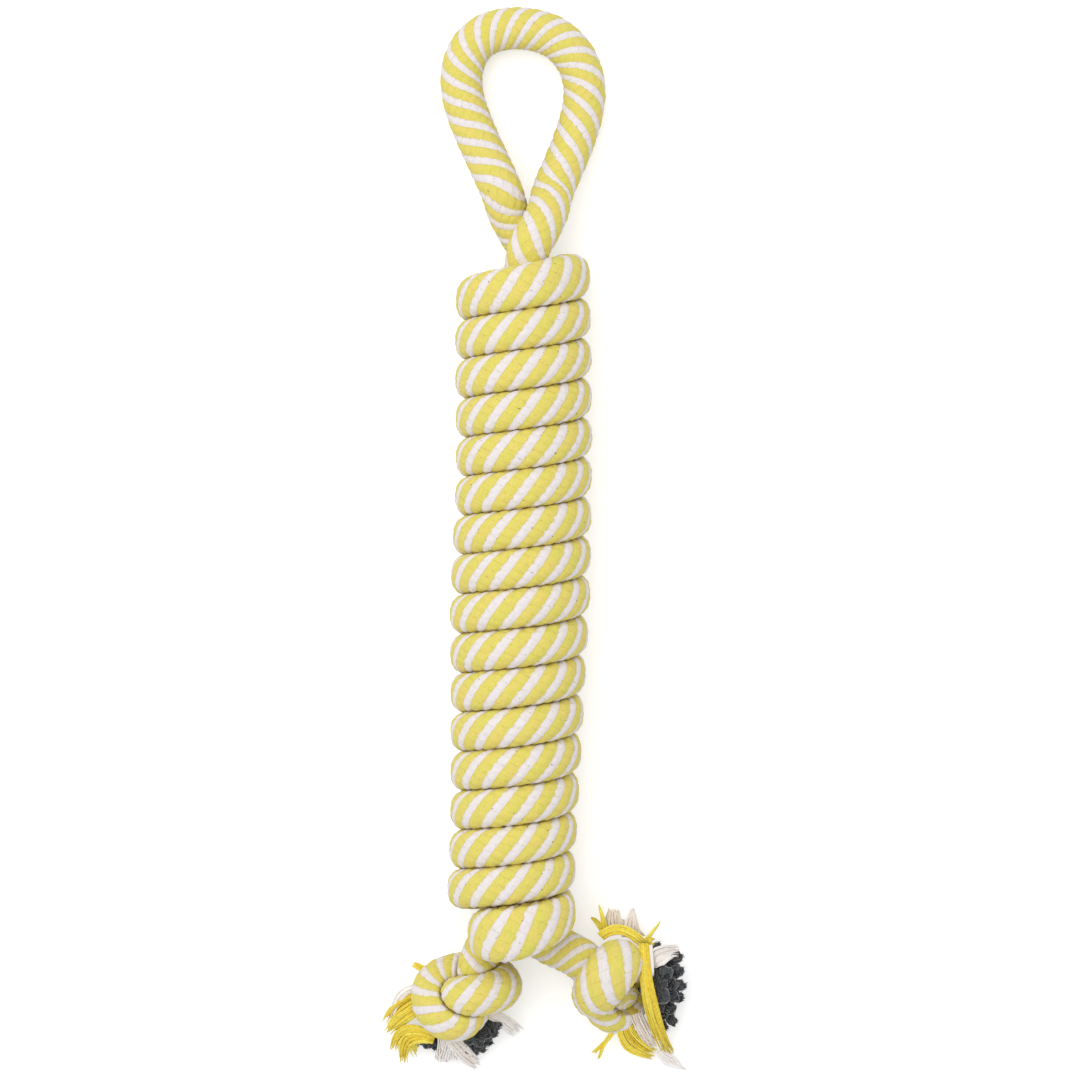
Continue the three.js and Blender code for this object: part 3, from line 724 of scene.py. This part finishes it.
# the bands go round in a shorter length of rope in the knots and over the loop's crown
knotted_lead = 0.026
crown_lead = 0.028
from_end = np.minimum(handle_along, handle_along[-1] - handle_along)
from_crown = np.abs(handle_along - handle_along[crown_ring])
handle_lead = np.interp(from_end, (0.22, 0.27), (knotted_lead, band_lead))
handle_lead -= (band_lead - crown_lead) * np.interp(from_crown, (0.02, 0.05), (1, 0))
handle_turned = np.concatenate([[0], np.cumsum(np.diff(handle_along) / handle_lead[1:])])
left_cut = nearest_ring((left_tail_pivot + left_knot_pivot) / 2, 0, crown_ring)
rear_bore_cut = nearest_ring(rear_leg[bore_steps // 2], 0, crown_ring)
rear_neck_cut = nearest_ring(neck_leg(-1)[neck_steps // 2], 0, crown_ring)
front_neck_cut = nearest_ring(neck_leg(1)[neck_steps // 2], crown_ring)
front_bore_cut = nearest_ring(front_leg[bore_steps // 2], crown_ring)
right_cut = nearest_ring((right_tail_pivot + right_knot_pivot) / 2, crown_ring)
last_ring = len(handle_route) - 1


def bore_press():
    """How the section is pressed at each ring: where the legs share the bore, to half of it each."""
    way_out = 24
    stacks = np.zeros((len(handle_route), 3))
    thin = np.ones(len(handle_route))
    wide = np.ones(len(handle_route))
    for leg, sections, first, last in (
        (rear_leg, rear_sections, 0, crown_ring),
        (front_leg, front_sections, crown_ring, None),
    ):
        top = nearest_ring(leg[0], first, last)
        low = nearest_ring(leg[-1], first, last)
        a, b = min(top, low), max(top, low)
        ys = np.array([place[1] for place in leg])[::-1]
        for i in range(a - way_out, b + way_out + 1):
            share = np.interp(handle_route[i, 1], ys, np.arange(len(leg))[::-1])
            stacks[i], half, width = sections[int(round(share))]
            keep = smoothed(max(0, a - i, i - b) / way_out)
            thin[i] = half / (rope_diameter / 2) * (1 - keep) + keep
            wide[i] = width / (rope_diameter / 2) * (1 - keep) + keep
    return stacks, thin, wide


handle_stacks, handle_thin, handle_wide = bore_press()
handle_reach = 0.0087
touch_distance = 0.022
own_length = 0.021
touch_share = 0.12


def room_beside(rings):
    """How far each point of a ring can go out before it meets a neighbouring strand's half."""
    limit = np.full((len(rings), ring_points), handle_reach)
    touch = np.zeros_like(limit)
    for i, ring in enumerate(rings):
        gap = handle_route - handle_route[ring]
        distance = np.linalg.norm(gap, axis=1)
        near = (distance < touch_distance) & (np.abs(handle_along - handle_along[ring]) > own_length)
        if not near.any():
            continue
        towards = handle_outward[ring] @ gap[near].T
        halfway = distance[near] ** 2 / 2 / np.maximum(towards, 1e-5)
        free = halfway.min(axis=1)
        limit[i] = np.minimum(limit[i], free)
        # how close each point comes to the neighbouring strand, which sets the painted shade where strands
        # press together
        touch[i] = np.clip((1 + touch_share - free / handle_reach) / touch_share, 0, 1)
    return limit, touch


def spread_out(values, axis, edge):
    """The values softened along one axis, each by two neighbours on both sides."""
    blur = np.array([1, 4, 6, 4, 1]) / 16

    def soften(line):
        return np.convolve(np.pad(line, 2, mode=edge), blur, "valid")

    return np.apply_along_axis(soften, axis, values)


handle_lengths = {}


def handle_length(name, first, last, caps=(False, False), spread=None):
    """One length of the handle rope, from one ring to another."""
    rings = np.arange(first, last + 1)
    route = handle_route[rings]
    stacks = handle_stacks[rings]
    # a few rings more at each cut, so that both lengths there come out alike
    extra = 8
    more = np.arange(max(first - extra, 0), min(last + extra + 1, len(handle_route)))
    kept = slice(first - more[0], last + 1 - more[0])
    reach, touch = room_beside(more)
    for _ in range(2):
        reach = spread_out(spread_out(reach, 0, "edge"), 1, "wrap")

    def press(offset):
        across_way = np.cross(stacks, handle_tangents[rings])
        across_way /= np.maximum(np.linalg.norm(across_way, axis=1), 1e-9)[:, None]
        deep = (handle_thin[rings] - 1)[:, None] * part_along(offset, stacks)
        wide = (handle_wide[rings] - 1)[:, None] * part_along(offset, across_way)
        offset = offset + deep[:, :, None] * stacks[:, None, :] + wide[:, :, None] * across_way[:, None, :]
        if spread is not None:
            offset[:, :, :2] *= spread[:, None, None]
        return on_sheet(offset, route)

    # 0.7 of that closeness is painted as contact shade on the cover
    piece = rope_piece(
        name, route, handle_outward[rings], reach[kept], handle_along[rings], handle_turned[rings],
        handle_weave, 0.7 * touch[kept], press, caps,
    )
    piece.data.materials.append(cover_material)
    handle_lengths[piece] = route, handle_along[last] - handle_along[first]
    return piece


# The whole ring at a cut follows one body in both lengths, so that no slit opens between them.
left_knot_rope = handle_length("left_knot_rope", 0, left_cut, caps=(True, False))
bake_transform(left_knot_rope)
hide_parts("left_knot")
left_tail_rope = handle_length("left_tail_rope", left_cut, rear_bore_cut)
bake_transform(left_tail_rope)
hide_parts("left_tail", "rear_core_leg")
rear_neck_rope = handle_length("rear_neck_rope", rear_bore_cut, rear_neck_cut)
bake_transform(rear_neck_rope)
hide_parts("rear_neck_leg")
handle_loop_rope = handle_length("handle_loop_rope", rear_neck_cut, front_neck_cut)
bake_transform(handle_loop_rope)
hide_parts("handle_loop")
front_neck_rope = handle_length("front_neck_rope", front_neck_cut, front_bore_cut)
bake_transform(front_neck_rope)
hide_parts("front_neck_leg")
right_tail_rope = handle_length("right_tail_rope", front_bore_cut, right_cut)
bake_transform(right_tail_rope)
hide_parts("right_tail", "front_core_leg")
# the right knot's front lobe is wider than the rest of its rope
front_ring = nearest_ring(right_knot_centre + rope_diameter * np.array(right_knot_strand[9]), right_cut)
from_front = (handle_along[right_cut:] - handle_along[front_ring]) / 0.015
right_knot_rope = handle_length(
    "right_knot_rope", right_cut, last_ring, caps=(False, True), spread=1 + 0.25 * np.exp(-from_front ** 2),
)
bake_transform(right_knot_rope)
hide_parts("right_knot")

# Frayed ends. Past each knot the rope comes apart: flat locks of cover yarn, yellow and white, and
# thick woolly charcoal yarns that filled the rope. They are held by the knot and go with it.
mm = 0.001
lowest_strand = 0.0006
strand_normal = (0.3, 0.1, 1)


def strand_object(name, strands, material, body, sides=5):
    """One object of many round strands, with each strand's tone and the share along it in its map."""
    verts, faces, map_points = [], [], []
    angles = 2 * math.pi * np.arange(sides) / sides
    for points, radii, tone in strands:
        points = np.array(points, float)
        points[:, 2] = np.maximum(points[:, 2], lowest_strand)
        tangents, normals, across = carried_frame(points, strand_normal)
        start = len(verts)
        count = len(points)
        for i in range(count):
            out = np.cos(angles)[:, None] * normals[i] + np.sin(angles)[:, None] * across[i]
            verts.extend(points[i] + np.broadcast_to(radii[i], sides)[:, None] * out)
        for i in range(count - 1):
            low, high = start + i * sides, start + (i + 1) * sides
            for k in range(sides):
                n = (k + 1) % sides
                faces.append((low + k, low + n, high + n, high + k))
                map_points += [(tone, i / count)] * 2 + [(tone, (i + 1) / count)] * 2
        for row, way in ((0, -1), (count - 1, 1)):
            tip = len(verts)
            verts.append(points[row] + way * tangents[row] * float(np.mean(radii[row])) * 0.6)
            for k in range(sides):
                ring = (start + row * sides + k, start + row * sides + (k + 1) % sides)
                faces.append((*ring[::way], tip))
                map_points += [(tone, row / count)] * 3
    made = smooth_object(name, verts, faces, "strand", map_points)
    made.data.materials.append(material)
    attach(made, body)
    return made


def in_metres(*places):
    return [np.array(place, float) * mm for place in places]


def bowed(root, bend, tip, t):
    """A point of the bow from the root past the bend to the tip, at share t of it."""
    return (1 - t) ** 2 * root + 2 * t * (1 - t) * bend + t * t * tip


def lock(root, bend, tip, widths, count, thickness, seed, ragged=0.0012, tones=(0.0, 1.0), waves=0.0004):
    """Strands of one flat lock, in millimetres: from its root past a bend to a ragged tip."""
    chance = np.random.default_rng(seed)
    root, bend, tip = in_metres(root, bend, tip)
    shares = np.linspace(0, 1, 12)
    up = np.array([0, 0, 1])
    strands = []
    for i in range(count):
        across = (2 * (i + 0.5) / count - 1) + chance.uniform(-0.12, 0.12)
        deep = chance.uniform(-1, 1)
        longer = 1 + chance.uniform(-1, 1) * ragged / max(np.linalg.norm(tip - root), 0.004)
        sway = chance.uniform(-1, 1, 3) * waves
        turn = chance.uniform(0, 6.28)
        points = []
        for t in shares * longer:
            side = np.cross(2 * (1 - t) * (bend - root) + 2 * t * (tip - bend), up)
            side /= max(np.linalg.norm(side), 1e-6)
            half = np.interp(t, (0, 0.5, 1), widths) * mm / 2
            place = bowed(root, bend, tip, t) + side * across * half + up * deep * max(half * 0.35, 0.0004)
            points.append(place + sway * math.sin(turn + 5 * t) * t)
        radius = thickness * mm / 2 * chance.uniform(0.8, 1.15)
        radii = radius * np.interp(shares, (0, 0.1, 0.8, 1), (0.8, 1, 1, 0.25))
        strands.append((points, radii, chance.uniform(*tones)))
    return strands


def fringe(name, material, body, *locks):
    """The locks of cover yarn of one colour that leave one knot."""
    return strand_object(name, [strand for strands in locks for strand in strands], material, body)


def yarn(root, bend, tip, width, seed):
    """One thick woolly yarn, in millimetres: three plies twisted together, and short loose fibres."""
    plies = 3
    ply_lead = 0.010
    hairs_a_ply = 70
    half = width * mm / 2
    chance = np.random.default_rng(seed)
    root, bend, tip = in_metres(root, bend, tip)
    shares = np.concatenate([np.linspace(0, 0.86, 20), [0.9, 0.94, 0.97, 0.99, 1.0]])
    middle = np.array([bowed(root, bend, tip, t) for t in shares])
    _, normals, across = carried_frame(middle, strand_normal)
    gone = run_along(middle)
    rounding = np.interp(shares, (0, 0.1, 0.86, 0.94, 0.97, 0.99, 1.0), (0.85, 1, 1, 0.9, 0.72, 0.5, 0.25))
    narrowing = np.interp(shares, (0, 0.86, 1), (1, 1, 0.75))[:, None]
    strands = []
    hairs = []
    begin = chance.uniform(0, 6.28)
    for ply in range(plies):
        turn = begin + 2 * math.pi * (ply / plies + gone / ply_lead)
        out = np.cos(turn)[:, None] * normals + np.sin(turn)[:, None] * across
        points = middle + out * 0.5 * half * narrowing
        radii = [half * 0.62 * share * chance.uniform(0.86, 1.14, 12) for share in rounding]
        strands.append((points, radii, chance.uniform(0, 0.6)))
        for _ in range(hairs_a_ply):
            i = int(chance.integers(8, len(points)))
            away = chance.normal(size=3)
            away = away - away.dot(out[i]) * out[i] * (0.0 if away.dot(out[i]) > 0 else 2.0)
            away /= np.linalg.norm(away)
            start = points[i] + away * 0.58 * half * rounding[i]
            curl = chance.normal(size=3) * 0.0003
            hair = [start, start + away * 0.00035 + curl * 0.5, start + away * 0.0006 + curl]
            hairs.append((hair, (0.00013, 0.00011, 0.00005), chance.uniform(0.5, 1)))
    return strands, hairs


def yarn_material(name, dark, light, rough, bump_distance, fuzz, grain):
    """Loose yarn between a dark and a light tone, each strand its own, with a woolly grain."""
    made = bpy.data.materials.new(name)
    tree = empty_tree(made)
    strand_map = node(tree, "ShaderNodeUVMap", uv_map="strand").outputs[0]
    tone = node(tree, "ShaderNodeSeparateXYZ", {0: strand_map}).outputs["X"]
    wool = clouded(tree, node(tree, "ShaderNodeTexCoord").outputs["Object"], 900, 3)
    shade = rescaled(tree, wool, 0.3, 0.7, 1 - grain, 1 + grain)
    colour = dyed(tree, 1, dyed(tree, tone, dark, light), shade, "MULTIPLY")
    cotton_surface(tree, colour, rough, fuzz, 0.4, wool, 0.7, bump_distance)
    return made


yellow_yarn = yarn_material(
    "yellow_cover_yarn", (0.80, 0.58, 0.05, 1), (0.90, 0.80, 0.14, 1), 0.85, 0.0001, 0.1, 0.12,
)
white_yarn = yarn_material(
    "white_cover_yarn", (0.78, 0.64, 0.50, 1), (0.97, 0.95, 0.95, 1), 0.85, 0.00005, 0.1, 0.06,
)
charcoal_yarn = yarn_material(
    "charcoal_filler_yarn", (0.020, 0.022, 0.025, 1), (0.12, 0.125, 0.135, 1), 0.95, 0.0005, 0.8, 0.45,
)


def yarn_cluster(name, root, tips, body):
    """Yarns that leave the knot together and turn up, each to its own cut tip and of its own width."""
    strands = []
    hairs = []
    for seed, (x, y, z, width) in enumerate(tips):
        below = (0.86 * x + 0.14 * root[0], 0.86 * y + 0.14 * root[1], max(z - 7, 3.5))
        thick, loose = yarn(root, below, (x, y, z), width, seed + 3)
        strands += thick
        hairs += loose
    made = strand_object(name, strands, charcoal_yarn, body, sides=12)
    fluff = strand_object(name + "_fibres", hairs, charcoal_yarn, body, sides=3)
    return made, fluff


right_yellow_fringe = fringe(
    "right_yellow_fringe", yellow_yarn, "right_knot_body",
    lock((34.8, -146.0, 16), (34.7, -141.2, 18), (32.9, -136.6, 16), (2.6, 1.6, 0.3), 9, 0.8, 1, ragged=0.0006),
    lock((34.8, -146.9, 15), (32.8, -144.3, 14), (29.9, -141.9, 12), (2.6, 1.8, 0.8), 9, 0.8, 2, ragged=0.0006),
    lock((33.5, -148.4, 21), (41, -141.0, 24), (51.5, -151.3, 22), (3.2, 3.4, 3.6), 14, 0.9, 3),
    lock((51.5, -151.2, 18), (54.5, -147.7, 18), (58.2, -143.0, 17), (1.8, 0.9, 0.2), 6, 0.7, 4, ragged=0.0005),
    lock(
        (51.4, -151.0, 24), (51.6, -177.0, 35), (62.6, -199.9, 4), (4.0, 5.4, 5.2), 30, 0.75, 5,
        ragged=0.003, waves=0.0011,
    ),
    lock((38.4, -190.0, 12), (36.3, -194.2, 10), (30.6, -199.4, 7), (2.0, 1.2, 1.9), 8, 0.7, 6, ragged=0.0006),
    lock((37.4, -191.6, 11), (34.6, -195.8, 9), (32.8, -202.0, 6), (1.2, 0.9, 0.6), 6, 0.7, 7, ragged=0.0006),
    lock(
        (43.6, -187.0, 13), (44.6, -195.4, 11), (55, -199.6, 7), (6.4, 8.4, 5.0), 44, 0.8, 8,
        ragged=0.0015, waves=0.0007,
    ),
    lock((50.5, -152.5, 16), (53.5, -150.7, 18), (55.8, -151.2, 17), (4.0, 3.5, 3.0), 9, 0.9, 9),
)
right_white_fringe = fringe(
    "right_white_fringe", white_yarn, "right_knot_body",
    lock(
        (39.6, -148.5, 14), (38.4, -143.0, 15), (39.0, -138.6, 13), (7.0, 7.0, 4.6), 44, 0.7, 11,
        ragged=0.001, tones=(0.1, 0.5),
    ),
    lock(
        (46.4, -149.5, 14), (46.4, -143.5, 15), (46.9, -137.9, 14), (7.6, 4.8, 1.0), 40, 0.7, 12,
        ragged=0.0008, tones=(0.2, 0.8),
    ),
    lock(
        (36.4, -144.6, 13), (43.8, -142.9, 14), (50.6, -149.6, 14), (3.6, 4.4, 3.0), 26, 0.7, 17,
        tones=(0.1, 0.5),
    ),
    lock(
        (58.4, -198.7, 6), (62, -202.8, 5), (68.3, -206.3, 3), (3.0, 6.0, 1.2), 26, 0.6, 13,
        ragged=0.0014, tones=(0.6, 1.0),
    ),
    lock(
        (48.5, -181.2, 18), (50.5, -187.6, 17), (56.2, -195.8, 9), (5.6, 5.6, 4.2), 15, 0.7, 14,
        tones=(0.1, 0.8), waves=0.001,
    ),
    lock(
        (54.0, -160.4, 21), (56.6, -155.2, 25), (63.4, -154.6, 20), (5.0, 8.0, 5.4), 46, 0.7, 15,
        ragged=0.0025, tones=(0.5, 1.0),
    ),
    lock(
        (53.9, -151.7, 24), (54.6, -156.9, 26), (54.9, -163.5, 26), (1.6, 1.5, 1.0), 8, 0.6, 16,
        tones=(0.6, 1.0),
    ),
)
right_filler_yarns, right_filler_fibres = yarn_cluster("right_filler_yarns", (50, -169, 13), [
    (57.5, -152.2, 18, 2.8),
    (66.0, -157.3, 15, 5.0),
    (62.4, -158.6, 13, 4.6),
    (57.9, -161.5, 20, 5.4),
    (61.2, -163.4, 23, 5.8),
    (66.3, -163.5, 16, 5.6),
    (59.2, -168.1, 22, 5.2),
    (67.9, -170.2, 14, 4.6),
    (59.6, -173.6, 23, 6.6),
    (64.2, -168.8, 19, 5.0),
    (64.6, -174.6, 18, 5.0),
    (67.0, -175.4, 13, 4.4),
    (58.3, -179.4, 17, 4.6),
    (63.3, -180.0, 15, 5.0),
    (60.0, -183.4, 13, 4.4),
    (64.4, -186.6, 9, 4.0),
    (61.0, -189.4, 6, 2.6),
], "right_knot_body")

left_yellow_fringe = fringe(
    "left_yellow_fringe", yellow_yarn, "left_knot_body",
    lock(
        (-36.5, -165.8, 12), (-41.0, -163.0, 13), (-44.6, -161.0, 14), (2.8, 2.6, 2.0), 8, 1.0, 21,
        ragged=0.0004,
    ),
    lock(
        (-42.5, -175.0, 12), (-50, -177.2, 14), (-55.4, -185.6, 8), (5.5, 6.0, 4.0), 24, 0.9, 22,
        ragged=0.002, tones=(0.0, 0.6),
    ),
    lock(
        (-42.5, -180.0, 12), (-49, -182.2, 14), (-54.6, -189.6, 7), (5.0, 6.0, 4.0), 20, 0.9, 23,
        ragged=0.002, tones=(0.2, 1.0),
    ),
    lock(
        (-36, -191.1, 15), (-49.5, -184.6, 15), (-52.5, -196.7, 6), (3.0, 5.5, 4.0), 18, 0.9, 24,
        ragged=0.002,
    ),
    lock((-36, -192.6, 15), (-50, -187.6, 15), (-48.8, -202.5, 4), (3.0, 5.5, 3.0), 22, 0.9, 25, ragged=0.0015),
    lock(
        (-38, -192.6, 15), (-47, -190.2, 14), (-44, -198.7, 6), (3.0, 5.0, 3.5), 16, 0.9, 26,
        ragged=0.0015, tones=(0.4, 1.0),
    ),
)
left_white_fringe = fringe(
    "left_white_fringe", white_yarn, "left_knot_body",
    lock(
        (-44, -171.3, 13), (-51, -171.6, 15), (-53.3, -182.7, 10), (3.0, 3.4, 2.0), 16, 0.7, 31,
        ragged=0.0012, tones=(0.3, 1.0),
    ),
    lock(
        (-31.0, -191.0, 15), (-31.5, -197.5, 11), (-33.6, -203.0, 5), (6.0, 5.5, 4.4), 26, 0.7, 32,
        ragged=0.002, tones=(0.6, 1.0), waves=0.0008,
    ),
    lock(
        (-30.5, -191.0, 15), (-30.0, -197.0, 11), (-29.0, -202.4, 5), (5.4, 5.0, 4.6), 22, 0.7, 33,
        ragged=0.002, tones=(0.6, 1.0), waves=0.0008,
    ),
    lock(
        (-29.0, -191.5, 15), (-24.5, -198.5, 12), (-18.2, -204.5, 5), (5.0, 5.6, 4.6), 34, 0.75, 34,
        ragged=0.002, tones=(0.5, 1.0), waves=0.0006,
    ),
    lock(
        (-13.5, -181.5, 14), (-8, -183.6, 12), (-1.6, -190.6, 6), (4.4, 4.6, 5.6), 34, 0.75, 35,
        ragged=0.0014, tones=(0.6, 1.0),
    ),
)
left_filler_yarns, left_filler_fibres = yarn_cluster("left_filler_yarns", (-27, -182, 12), [
    (-42.5, -194.4, 10, 4.4),
    (-39.2, -195.8, 9, 5.2),
    (-35.6, -196.2, 10, 4.6),
    (-25.8, -195.4, 12, 5.0),
    (-22.5, -197.6, 11, 5.2),
    (-19.2, -199.0, 9, 5.0),
    (-15.8, -197.8, 9, 4.6),
    (-20.6, -193.2, 15, 5.2),
    (-16.6, -194.0, 14, 5.2),
    (-13.0, -194.6, 10, 4.6),
    (-13.8, -190.8, 14, 5.0),
    (-10.6, -190.4, 12, 4.6),
    (-9.0, -187.2, 13, 4.2),
], "left_knot_body")
for fringe, slot_name, stands_for in (
    (right_yellow_fringe, "yellow_yarn", "right_yellow_fringe"),
    (right_white_fringe, "white_yarn", "right_white_fringe"),
    (right_filler_yarns, "filler_yarn", "right_filler_yarns"),
    (left_yellow_fringe, "yellow_yarn", "left_yellow_fringe"),
    (left_white_fringe, "white_yarn", "left_white_fringe"),
    (left_filler_yarns, "filler_yarn", "left_filler_yarns"),
):
    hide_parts(stands_for)
left_frays = [left_yellow_fringe, left_white_fringe, left_filler_yarns, left_filler_fibres]
right_frays = [right_yellow_fringe, right_white_fringe, right_filler_yarns, right_filler_fibres]

# The handle rope's lengths, as the cords they are: each knot carries the loose yarns beyond it.
for piece, out, on_it in (
    (left_knot_rope, "bare", left_frays),
    (left_tail_rope, "object", ()),
    (rear_neck_rope, "object", ()),
    (handle_loop_rope, "object", ()),
    (front_neck_rope, "object", ()),
    (right_tail_rope, "object", ()),
    (right_knot_rope, "bare", right_frays),
):
    route, length = handle_lengths[piece]
    if piece is left_knot_rope:
        route = route[::-1]
